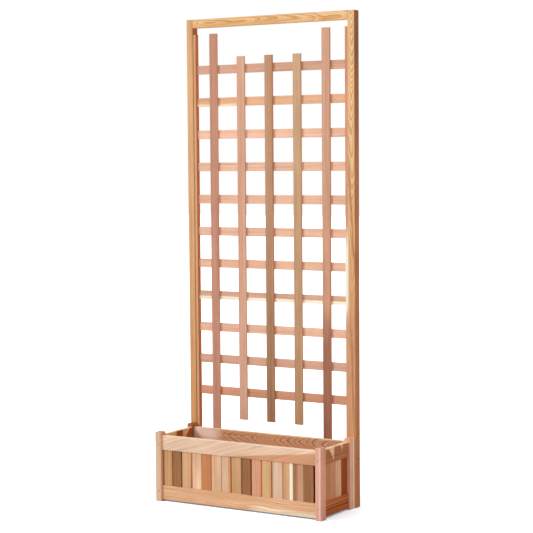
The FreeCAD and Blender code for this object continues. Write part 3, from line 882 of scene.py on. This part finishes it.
@dataclass
class PlanterBox:
    """Slatted box on four corner posts."""

    posts: dict[str, Timber] = field(default_factory=lambda: {
        # The colours for the sides that look right are painted light and shade.
        "post_front_left": Timber(LINEN, side_shading="e2a67c"),
        "post_front_right": Timber(
            ROSE, FINE, (Patch("f0cdb4", low=0.12, high=0.34, strength=0.6),), side_shading="de9e82"
        ),
        "post_rear_left": Timber(CINNAMON),
        "post_rear_right": Timber(
            SHELL, FINE, (Patch("ffe2bc", low=0.22, strength=1.0),), face=Axis.X
        ),
    })
    long_rails: dict[str, Timber] = field(default_factory=lambda: {
        "front_top_rail": Timber(
            CREAM,
            SWEPT,
            (
                Patch("c07a4c", low=-2.0, high=-0.40, start=-0.20, strength=0.68, slant=1.4),
                # Painted highlight along its top, where light from above falls.
                Patch("f3dcc0", low=0.46, strength=0.5),
            ),
        ),
        "front_bottom_rail": Timber(
            BUFF, WAVY, (Patch("f4e2c6", high=-0.12, start=0.08, strength=0.7, slant=-0.3),)
        ),
        "rear_top_rail": Timber(
            # The second patch is a painted highlight along its top, where light from above falls.
            CHEVRON, CHEVRONS, (Patch("ffe0ce", stop=-0.33, strength=0.85), Patch("ecc7a4", low=0.46))
        ),
        "rear_bottom_rail": Timber(TAN, ARCHED),
    })
    end_rails: dict[str, Timber] = field(default_factory=lambda: {
        "left_top_rail": Timber(
            BRICK,
            PLAIN,
            (
                Patch("ffd49c", stop=-0.10),
                replace(TONGUE, colour="ffd49c", low=-0.4, start=0.14, stop=0.46, tip=0.0),
                # Painted highlight along its top, where light from above falls.
                Patch("f6cf9e", low=0.47),
            ),
            face=Axis.X,
        ),
        "left_bottom_rail": Timber(TAN, ARCHED, face=Axis.X),
        "right_top_rail": Timber(
            CINNAMON,
            PLAIN,
            (
                replace(TONGUE, low=-0.44, start=-0.31, stop=-0.07),
                replace(TONGUE, low=0.0, start=0.16, stop=0.27),
                # Painted highlight along its top, where light from above falls.
                Patch("f4d2ac", low=0.47, strength=0.8),
            ),
            face=Axis.X,
        ),
        "right_bottom_rail": Timber(
            BRICK,
            replace(PLAIN, ring=0.010, contrast=0.9),
            (Patch("c87c48", low=0.18, high=0.34, strength=0.6),),
            face=Axis.X,
        ),
    })
    front_slats: tuple[Timber, ...] = (  # From the left.
        Timber(TAN, PLAIN, (Patch("c4875a", low=0.40),)),
        # Its dark edges are painted shade of the joints.
        Timber(UMBER, PLAIN, (Patch("6b3014", low=0.40), Patch("8c4c28", high=-0.42))),
        Timber(WHEAT, FINE, (Patch("bc7446", low=0.40),)),
        Timber(BISQUE, PLAIN, (Patch("c98458", high=-0.40),), foot="e4bd9c"),
        Timber(RUSSET, PLAIN, (Patch("b4602f", low=0.34, strength=0.4),)),
        Timber(BISQUE, FINE),
        # Its dark right edge is painted shade of the joint.
        Timber(LINEN, PLAIN, (Patch("c98a58", low=0.20, high=0.44), Patch("8a431f", low=0.42))),
        Timber(TAN, FINE),
        # Its dark edges are painted shade of the joints.
        Timber(UMBER, PLAIN, (Patch("6b3014", low=0.38), Patch("7b4523", high=-0.40))),
        Timber(CORAL, FINE, (Patch("b96a44", low=0.38),)),
        Timber(HONEY, PLAIN, (Patch("a8592c", low=0.40),)),
        Timber(LINEN, FINE, (Patch("dcc0a6", low=-0.30, high=0.05, strength=0.6),)),
        Timber(WHEAT, FINE, (Patch("c68a58", high=-0.36), Patch("f2e6ce", low=0.20, strength=1.0))),
        Timber(
            HAZEL, FINE, (Patch("9c6f48", high=-0.16), Patch("a9623f", low=-0.20, high=-0.02, strength=0.5))
        ),
        # Its near-black right edge is painted shade of the gap beside the post.
        Timber(UMBER, PLAIN, (Patch("2a1208", low=0.44),)),
    )
    right_slats: tuple[Timber, ...] = (  # From the front.
        Timber(SALMON, FINE, face=Axis.X),
        Timber(SALMON, FINE, face=Axis.X),
        Timber(APRICOT, FINE, face=Axis.X),
        Timber(OXBLOOD, PLAIN, face=Axis.X),
    )
    first_seed: float = 3.0
    seed_step: float = 5.3
    row_margin: float = 0.0005  # Lead of a row's first place over its first slat.
    floor_count: int = 4
    floor_gap: float = 0.0054
    floor_margin: float = 0.0025  # Lead of the floor's first place over its first board.

    # Seeds of the pieces that hold more than one board.
    REAR_SEED, LEFT_SEED, FLOOR_SEED, BEARER_SEED = 71.0, 83.0, 91.0, 97.0

    def finish(self) -> Iterator[str]:
        """Dress every board of the box.

        Yields:
            The name of each piece.
        """
        seed = self.first_seed
        for grain, boards in ((Axis.Z, self.posts), (Axis.X, self.long_rails), (Axis.Y, self.end_rails)):
            for node, timber in boards.items():
                seed += self.seed_step
                yield dress(node, timber, grain, seed)
        for prefix, slats in (("front_slat", self.front_slats), ("right_slat", self.right_slats)):
            for number, timber in enumerate(slats, start=1):
                seed += self.seed_step
                yield dress(f"{prefix}_{number:02d}", timber, Axis.Z, seed)
        mixed = Timber(LINEN, second=UMBER)
        yield dress("rear_slats", mixed, Axis.Z, self.REAR_SEED, self.row_like("front_slat", Axis.X))
        across = replace(mixed, face=Axis.X)
        yield dress("left_slats", across, Axis.Z, self.LEFT_SEED, self.row_like("right_slat", Axis.Y))
        planks = Timber(TAN, ARCHED, face=Axis.Z, second=WHEAT)
        yield dress("floor_boards", planks, Axis.X, self.FLOOR_SEED, self.floor_row())
        yield dress("floor_bearers", Timber(TAN, face=Axis.Z), Axis.Y, self.BEARER_SEED)

    def row_like(self, prefix: str, axis: Axis) -> Row:
        """Row with the start and spacing of the slats opposite.

        Args:
            prefix: Name of the slats opposite, without their number.
            axis: Direction of the row.

        Returns:
            The row.
        """
        second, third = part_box(f"{prefix}_02")[0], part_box(f"{prefix}_03")[0]
        pitch = third[axis.value] - second[axis.value]
        return Row(axis, second[axis.value] - pitch - self.row_margin, pitch)

    def floor_row(self) -> Row:
        """Row of the floor boards.

        Returns:
            The row.
        """
        low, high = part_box("floor_boards")
        pitch = (high.y - low.y + self.floor_gap) / self.floor_count
        return Row(Axis.Y, low.y - self.floor_margin, pitch)


@dataclass
class Trellis:
    """Frame of the trellis with its battens and laths."""

    frame_boards: dict[str, tuple[Timber, Axis]] = field(default_factory=lambda: {
        # The colours for the sides that look right are painted shade, darker still near the top of the
        # right stile.
        "stile_left": (
            Timber(GOLD, replace(FINE, contrast=0.5), foot="cd9564", side_shading="b9713f"), Axis.Z
        ),
        "stile_right": (
            Timber(
                AMBER,
                POINTED,
                (
                    Patch(
                        "a96a38", low=0.28, high=0.55, start=-0.05, stop=0.22, strength=0.6, slant=-4.7
                    ),
                    Patch(
                        "a5683c", low=-0.42, high=-0.16, start=-0.36, stop=-0.14, strength=0.5, slant=-1.6
                    ),
                ),
                foot="c8956c",
                side_shading="bb6f48",
                side_shading_top="864724",
            ),
            Axis.Z,
        ),
        "top_crosspiece": (Timber(AMBER, FLAMED), Axis.X),
        "lower_crosspiece": (Timber(GOLD, ARCHED), Axis.X),
        "batten_left": (
            # Its dark right edge is painted shadow, and the colour for its side that looks right is painted
            # light and shade.
            Timber(WHEAT, FINE, (Patch("6b3a1e", low=0.36, strength=0.5),), side_shading="d8703f"), Axis.Z
        ),
        "batten_right": (
            Timber(CORAL, FINE, (Patch("f6eed8", start=-0.17, stop=0.02, strength=1.0),)), Axis.Z
        ),
    })
    cross_laths: tuple[Timber, ...] = (  # From the top.
        Timber(CLAY, FINE),
        Timber(APRICOT, FINE, (Patch("f3dcb4", high=-0.22, stop=-0.22),)),
        Timber(BLUSH, FINE),
        Timber(PEACH, FINE),
        Timber(PEACH, FINE),
        Timber(PEACH, FINE),
        Timber(PEACH, FINE),
        Timber(CLAY, FINE, (Patch("f7ecd2", high=-0.10, strength=1.0),)),
        Timber(PEACH, replace(FINE, contrast=0.6)),
        Timber(CLAY, FINE),
        Timber(CORAL, FINE),
    )
    upright_laths: tuple[Timber, ...] = (  # From the left.
        # The colours for the sides that look right are painted light on those sides.
        Timber(MAUVE, FINE, side_shading="e6a07a"),
        Timber(CLAY, FINE, side_shading="eeb08a"),
        Timber(HAZEL, PLAIN, foot="a47a5c", side_shading="d08a5e"),
        Timber(OLIVE, FINE, foot="b98f6c", side_shading="e0a074"),
        Timber(
            CLAY, FINE, (Patch("96624f", stop=-0.20, strength=0.85),), foot="c48f72", side_shading="dc9468"
        ),
    )
    first_seed: float = 11.0
    seed_step: float = 6.1

    def finish(self) -> Iterator[str]:
        """Dress every board of the trellis.

        Yields:
            The name of each board.
        """
        seed = self.first_seed
        for node, (timber, grain) in self.frame_boards.items():
            seed += self.seed_step
            yield dress(node, timber, grain, seed)
        for number, timber in enumerate(self.cross_laths, start=1):
            seed += self.seed_step
            yield dress(f"cross_lath_{number:02d}", timber, Axis.X, seed)
        for number, timber in enumerate(self.upright_laths, start=1):
            seed += self.seed_step
            yield dress(f"upright_lath_{number}", timber, Axis.Z, seed)


# ---- screws
@dataclass(frozen=True)
class Seat:
    """Where a screw's head lies: the middle of its face and the way that it drives."""

    place: Vector
    drive: Vector


@dataclass
class Screws:
    """Countersunk screws with cross recesses, in metres."""

    head_radius: float = 0.004
    shank_radius: float = 0.002
    head_height: float = 0.0025
    rim_rise: float = 0.0001  # Face over the rim.
    sink: float = 0.0002  # Rim below the wood.
    length: float = 0.052
    recess_reach: float = 0.0024
    recess_waist: float = 0.0009
    recess_depth: float = 0.0016
    recess_taper: float = 0.6  # Floor of the recess against its mouth.
    rim_share: float = 0.1  # Rim's width against the head's radius.
    land_share: float = 0.2  # The same, from the rim to the recess.
    lobe_power: int = 3  # How narrow the arms of the recess are.
    sides: int = 32
    stagger: float = 0.017  # From the middles of the rails.
    frame_spacing: float = 0.022  # Between the two screws in each end of a crosspiece.
    fixing_spacing: float = 0.080  # Between the two that fix a stile to its post.
    fixing_rise: float = 0.105  # Height of the middle between those two.

    def build(self) -> Iterator[str]:
        """Make both groups of screws.

        Yields:
            The name of each group's piece.
        """
        # Steel of the trellis screws, darkened as painted shade.
        dark = SteelFinish("shade_darkened_zinc", bright="5c5450", dull="2f2926", metallic=0.5)
        groups = {
            "planter_screws": (self.planter_seats(), SteelFinish()),
            "trellis_screws": (self.trellis_seats(), dark),
        }
        for node, (seats, steel) in groups.items():
            mesh = bmesh.new()
            for seat in seats:
                self.screw(mesh, seat)
            piece = add_piece(f"{node}_steel", mesh, steel.make())
            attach(piece, BODY)
            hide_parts(node)
            yield piece.name

    def planter_seats(self) -> list[Seat]:
        """Seats of the screws that hold the rails to the corner posts.

        Returns:
            The seats, two for each level of each post.
        """
        seats = []
        for row, drive_y in (("front", 1), ("rear", -1)):
            for side, drive_x in (("left", 1), ("right", -1)):
                low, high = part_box(f"post_{row}_{side}")
                outer_x = low.x if drive_x > 0 else high.x
                outer_y = low.y if drive_y > 0 else high.y
                for level, away in (("top", 1), ("bottom", -1)):
                    long_low, long_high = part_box(f"{row}_{level}_rail")
                    end_low, end_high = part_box(f"{side}_{level}_rail")
                    middle = (long_low.z + long_high.z) / 2
                    lengthwise = Vector((outer_x, (long_low.y + long_high.y) / 2, middle))
                    crosswise = Vector(((end_low.x + end_high.x) / 2, outer_y, middle))
                    lengthwise.z += away * self.stagger
                    crosswise.z -= away * self.stagger / 2
                    seats.append(Seat(lengthwise, Vector((drive_x, 0, 0))))
                    seats.append(Seat(crosswise, Vector((0, drive_y, 0))))
        return seats

    def trellis_seats(self) -> list[Seat]:
        """Seats of the screws in the trellis frame, and of those that fix it to the planter.

        Returns:
            The seats.
        """
        seats = []
        for side, drive_x in (("left", 1), ("right", -1)):
            low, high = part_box(f"stile_{side}")
            post_low, post_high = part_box(f"post_rear_{side}")
            outer_x = low.x if drive_x > 0 else high.x
            middle_y = (low.y + high.y) / 2
            for piece in ("top_crosspiece", "lower_crosspiece"):
                piece_low, piece_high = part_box(piece)
                middle_z = (piece_low.z + piece_high.z) / 2
                for way in (-1, 1):
                    place = Vector((outer_x, middle_y, middle_z + way * self.frame_spacing / 2))
                    seats.append(Seat(place, Vector((drive_x, 0, 0))))
            middle_x = (post_low.x + post_high.x) / 2
            for way in (-1, 1):
                place = Vector((middle_x, high.y, self.fixing_rise + way * self.fixing_spacing / 2))
                seats.append(Seat(place, Vector((0, -1, 0))))
        return seats

    def screw(self, mesh: bmesh.types.BMesh, seat: Seat) -> None:
        """Add one screw.

        Args:
            mesh: Mesh that takes it.
            seat: Where its head lies.
        """
        turn = (-seat.drive).to_track_quat("Z", "Y").to_matrix().to_4x4()
        made = bmesh.ops.create_cone(
            mesh,
            cap_ends=True,
            segments=self.sides,
            radius1=self.shank_radius,
            radius2=self.head_radius,
            depth=self.head_height,
            matrix=Matrix.Translation((0, 0, -self.head_height / 2 - self.sink)),
        )
        caps = sorted(
            {face for vert in made["verts"] for face in vert.link_faces if len(face.verts) == self.sides},
            key=lambda face: face.calc_center_median().z,
        )
        bottom, top = caps
        shank = bmesh.ops.extrude_discrete_faces(mesh, faces=[bottom])["faces"]
        bmesh.ops.translate(mesh, verts=shank[0].verts, vec=(0, 0, self.head_height - self.length))
        rim, land = self.head_radius * self.rim_share, self.head_radius * self.land_share
        bmesh.ops.inset_region(mesh, faces=[top], thickness=rim, depth=self.rim_rise)
        bmesh.ops.inset_region(mesh, faces=[top], thickness=land)
        for vert in top.verts:
            angle = math.atan2(vert.co.y, vert.co.x)
            lobe = abs(math.cos(2 * angle)) ** self.lobe_power
            reach = self.recess_waist + (self.recess_reach - self.recess_waist) * lobe
            flat = Vector((vert.co.x, vert.co.y)).normalized() * reach
            vert.co.x, vert.co.y = flat
        recess = bmesh.ops.extrude_discrete_faces(mesh, faces=[top])["faces"]
        bmesh.ops.translate(mesh, verts=recess[0].verts, vec=(0, 0, -self.recess_depth))
        bmesh.ops.scale(mesh, verts=recess[0].verts, vec=(self.recess_taper, self.recess_taper, 1.0))
        place = Matrix.Translation(seat.place) @ turn
        bmesh.ops.transform(mesh, verts=self.island(recess[0]), matrix=place)

    @staticmethod
    def island(face: bmesh.types.BMFace) -> list[bmesh.types.BMVert]:
        """Gather every vertex joined to a face.

        Args:
            face: The face.

        Returns:
            The vertices.
        """
        found = set(face.verts)
        waiting = list(found)
        while waiting:
            for edge in waiting.pop().link_edges:
                for vert in edge.verts:
                    if vert not in found:
                        found.add(vert)
                        waiting.append(vert)
        return list(found)


# ---- studio
@dataclass
class Studio:
    """Camera, key lamp, white surroundings and floor, with lengths in metres."""

    camera_place: Vector = field(default_factory=lambda: Vector((3.5266, -5.7953, 1.4874)))
    yaw: float = 0.5474  # About the vertical, in radians.
    pitch: float = 0.0753  # Downwards, in radians.
    roll: float = -0.0084  # About the view, in radians.
    lens: float = 107.49  # Millimetres, as is the sensor.
    sensor: float = 36.0
    shift: tuple[float, float] = (0.0246, 0.0224)
    sight: float = 100.0
    key_strength: float = 1.58
    key_azimuth: float = -45.0  # Degrees, as are the next two.
    key_height: float = 35.0
    key_spread: float = 20.0
    glow_least: float = 0.485
    glow_front: float = 0.12  # Added towards the front left.
    glow_top: float = 0.45  # Added towards the sky.
    sky_start: float = 0.2  # Height from which the sky brightens.
    diagonal: float = 0.7  # Share of X and of Y in the way to the front left.
    floor_reach: float = 30.0
    floor_tint: tuple[float, ...] = (0.75, 0.75, 0.75, 1.0)  # As it lights the part.
    shadow_tint: tuple[float, ...] = (1.32, 1.42, 1.42, 1.0)  # As it is seen, to show white.
    lift_tint: tuple[float, ...] = (0.55, 0.7, 1.0, 1.0)  # Of the glow in its shadows.
    lift_strength: float = 0.2

    WHITE = (1.0, 1.0, 1.0, 1.0)

    def build(self) -> None:
        """Set up the whole studio."""
        self.camera()
        self.key_lamp()
        self.surroundings()
        self.floor()
        bpy.context.scene.view_settings.view_transform = "Standard"

    def camera(self) -> None:
        """Camera at the photograph's point of view."""
        data = bpy.data.cameras.new("camera")
        data.lens = self.lens
        data.sensor_width = self.sensor
        data.shift_x, data.shift_y = self.shift
        data.clip_end = self.sight
        camera = bpy.data.objects.new("camera", data)
        turn = (
            Matrix.Rotation(self.yaw, 4, "Z")
            @ Matrix.Rotation(math.pi / 2 - self.pitch, 4, "X")
            @ Matrix.Rotation(self.roll, 4, "Z")
        )
        camera.matrix_world = Matrix.Translation(self.camera_place) @ turn
        bpy.context.scene.collection.objects.link(camera)
        bpy.context.scene.camera = camera

    def key_lamp(self) -> None:
        """Broad soft key light from the front left."""
        data = bpy.data.lights.new("key", "SUN")
        data.energy = self.key_strength
        data.angle = math.radians(self.key_spread)
        lamp = bpy.data.objects.new("key", data)
        swing = Matrix.Rotation(math.radians(self.key_azimuth), 4, "Z")
        lamp.matrix_world = swing @ Matrix.Rotation(math.radians(90.0 - self.key_height), 4, "X")
        bpy.context.scene.collection.objects.link(lamp)

    def surroundings(self) -> None:
        """World that lights softly from the front left and shows white."""
        world = bpy.data.worlds.new("studio")
        bpy.context.scene.world = world
        world.use_nodes = True
        graph = Graph(world.node_tree)
        way = graph.parts(graph.node("ShaderNodeTexCoord", output="Generated"))
        front_left = (0 - way[0]) * self.diagonal - way[1] * self.diagonal
        glow = self.glow_least + self.glow_front * front_left.rise(-1.0, 1.0)
        glow = glow + self.glow_top * way[2].rise(self.sky_start, 1.0)
        seen = self.seen_directly(graph)
        soft = graph.node("ShaderNodeBackground", None, {"Color": self.WHITE, "Strength": glow})
        white = graph.node("ShaderNodeBackground", None, {"Color": self.WHITE, "Strength": 1.0})
        both = graph.node("ShaderNodeMixShader", None, {0: seen, 1: soft, 2: white})
        graph.finish("ShaderNodeOutputWorld", both)

    @staticmethod
    def seen_directly(graph: Graph) -> Wire:
        """Mask of the rays that show a surface: camera, mirror and glass rays.

        Args:
            graph: Nodes of the material or the world.

        Returns:
            The mask.
        """
        names = ("Is Camera Ray", "Is Glossy Ray", "Is Transmission Ray")
        camera, glossy, glass = (graph.node("ShaderNodeLightPath", output=name) for name in names)
        return camera.either(glossy).either(glass)

    def floor(self) -> None:
        """Pale floor that shows white but keeps the shadow."""
        mesh = bmesh.new()
        bmesh.ops.create_grid(mesh, x_segments=1, y_segments=1, size=self.floor_reach)
        material, graph = blank_material("white_floor")
        plain = graph.node("ShaderNodeBsdfDiffuse", None, {"Color": self.floor_tint})
        shadow = graph.node("ShaderNodeBsdfDiffuse", None, {"Color": self.shadow_tint})
        glow = {"Color": self.lift_tint, "Strength": self.lift_strength}
        lift = graph.node("ShaderNodeEmission", None, glow)
        shown = graph.node("ShaderNodeAddShader", None, {0: shadow, 1: lift})
        seen = self.seen_directly(graph)
        both = graph.node("ShaderNodeMixShader", None, {0: seen, 1: plain, 2: shown})
        graph.finish("ShaderNodeOutputMaterial", both)
        add_piece("floor", mesh, material)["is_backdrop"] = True


def write_sizes() -> None:
    """Put the CAD box and the dressed model's box into plain lists."""
    boxes = {"cad": CAD_BOX, "visual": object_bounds()}
    plain = {name: [list(corner) for corner in box] for name, box in boxes.items()}


def main() -> None:
    """Dress the model and set up the studio."""
    logging.basicConfig(level=logging.INFO, format="%(name)s: %(message)s")
    for piece in PlanterBox().finish():
        LOG.info("%s dressed", piece)
    for piece in Trellis().finish():
        LOG.info("%s dressed", piece)
    for piece in Screws().build():
        LOG.info("%s built", piece)
    Studio().build()
    write_sizes()


if __name__ == "__main__":
    main()
